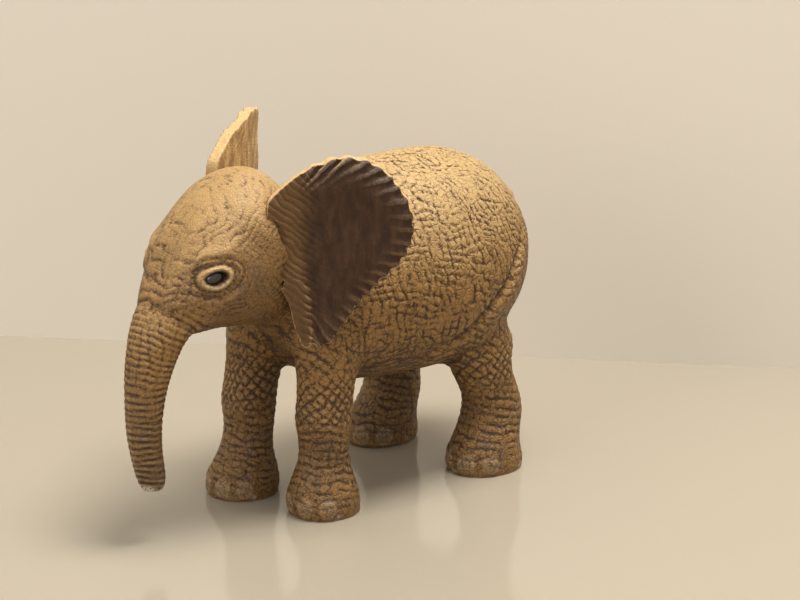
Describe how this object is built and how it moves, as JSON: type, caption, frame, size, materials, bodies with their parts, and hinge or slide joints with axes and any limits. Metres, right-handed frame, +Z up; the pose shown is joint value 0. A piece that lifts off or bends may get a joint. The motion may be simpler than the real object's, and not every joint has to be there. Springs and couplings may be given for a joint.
{
  "type": "elephant calf figurine",
  "caption": "Standing elephant calf figurine with hanging trunk, raised fan-shaped ears and wrinkled painted skin.",
  "frame": {"origin": "middle of the bounding box, on the ground plane under the four soles", "axes": "+Z up, the calf faces -Y so +Y points to its tail, +X to its left side"},
  "size_m": [0.0432, 0.0834, 0.0627],
  "materials": {
    "painted_skin": "satin paint, golden tan over a dark brown wash",
    "painted_ear": "satin paint, dark brown with a tan rim",
    "eye": "gloss"
  },
  "bodies": {
    "root": {"body": "painted_skin", "head": "painted_skin", "left_ear": "painted_ear", "right_ear": "painted_ear", "tail": "painted_skin"}
  },
  "joints": []
}
